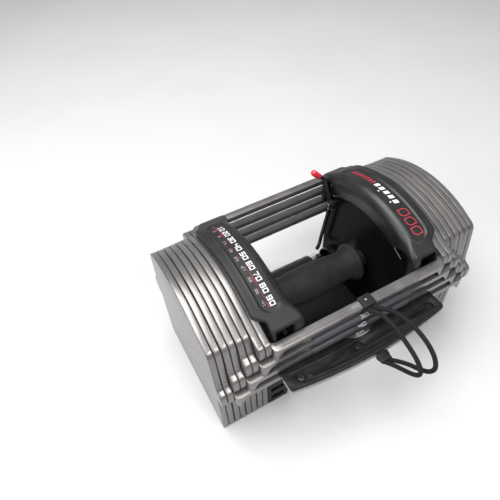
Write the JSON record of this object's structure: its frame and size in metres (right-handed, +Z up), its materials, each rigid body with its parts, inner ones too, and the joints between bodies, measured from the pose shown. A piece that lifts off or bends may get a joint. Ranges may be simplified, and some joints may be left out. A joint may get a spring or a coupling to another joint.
{
  "type": "adjustable dumbbell",
  "caption": "Selectorised dumbbell: nested plate weights joined by rails around a handle core, with a tethered pin that picks how many are lifted.",
  "frame": {"origin": "on the floor under the middle of the box round the dumbbell with its pin, without the tether", "axes": "+X along the grip, -Y towards the selector pin, +Z up"},
  "size_m": [0.305, 0.2534, 0.172],
  "materials": {
    "weight_paint": "warm grey satin metallic paint",
    "sleeve_plastic": "dark grey moulded plastic",
    "wall_plastic": "black moulded plastic",
    "panel_gloss": "gloss black plastic",
    "cover_plastic": "charcoal soft-touch plastic",
    "black_steel": "black powder coat",
    "grip_rubber": "soft black rubber",
    "chrome": "polished",
    "red_plastic": "gloss red",
    "zinc_steel": "dull zinc",
    "grey_steel": "satin",
    "pin_plastic": "black moulded plastic",
    "dark_screw": "black oxide",
    "cord_braid": "braided elastic"
  },
  "bodies": {
    "root": {"plate_20_left_inner": "weight_paint", "plate_20_left_outer": "weight_paint", "plate_20_right_inner": "weight_paint", "plate_20_right_outer": "weight_paint", "plate_30_left_inner": "weight_paint", "plate_30_left_outer": "weight_paint", "plate_30_right_inner": "weight_paint", "plate_30_right_outer": "weight_paint", "plate_40_left_inner": "weight_paint", "plate_40_left_outer": "weight_paint", "plate_40_right_inner": "weight_paint", "plate_40_right_outer": "weight_paint", "plate_50_left_inner": "weight_paint", "plate_50_left_outer": "weight_paint", "plate_50_right_inner": "weight_paint", "plate_50_right_outer": "weight_paint", "rail_20_front": "weight_paint", "rail_20_back": "weight_paint", "rail_30_front": "weight_paint", "rail_30_back": "weight_paint", "rail_40_front": "weight_paint", "rail_40_back": "weight_paint", "rail_50_front": "weight_paint", "rail_50_back": "weight_paint", "sleeve_30_front": "sleeve_plastic", "sleeve_40_front": "sleeve_plastic", "sleeve_50_front": "sleeve_plastic", "wall_left": "wall_plastic", "panel_left": "panel_gloss", "cover_left": "cover_plastic", "wall_right": "wall_plastic", "panel_right": "panel_gloss", "cover_right": "cover_plastic", "bottom_bridge": "wall_plastic", "core_tube": "black_steel", "grip": "grip_rubber", "adder_tube_front": "black_steel", "adder_tube_back": "black_steel", "lever_bolt": "zinc_steel", "cord_hitch": "cord_braid", "cord_strand_1": "cord_braid", "cord_strand_2": "cord_braid"},
    "selector_pin": {"pin_bar": "grey_steel", "pin_base": "pin_plastic", "pin_cover": "pin_plastic", "pin_screw_1": "dark_screw", "pin_screw_2": "dark_screw", "pin_screw_3": "dark_screw", "cord_socket": "pin_plastic"},
    "lever": {"lock_lever": "black_steel", "lever_tip": "red_plastic"},
    "front_adder": {"adder_weight_front": "chrome"},
    "back_adder": {"adder_weight_back": "chrome"}
  },
  "joints": [
    {"name": "pin_slide", "type": "slide", "parent": "root", "child": "selector_pin", "axis": [0, -1, 0], "range_m": [0, 0.19], "deforming": ["cord_strand_1", "cord_strand_2"]},
    {"name": "lever_swing", "type": "hinge", "parent": "root", "child": "lever", "pos_m": [0.063, 0.0692, 0.12], "axis": [1, 0, 0], "range_deg": [0, 10], "stiffness_Nm_per_rad": 0.6, "springref_deg": -5.73},
    {"name": "front_adder_slide", "type": "slide", "parent": "root", "child": "front_adder", "axis": [1, 0, 0], "range_m": [0, 0.014]},
    {"name": "back_adder_slide", "type": "slide", "parent": "root", "child": "back_adder", "axis": [1, 0, 0], "range_m": [0, 0.014]}
  ]
}
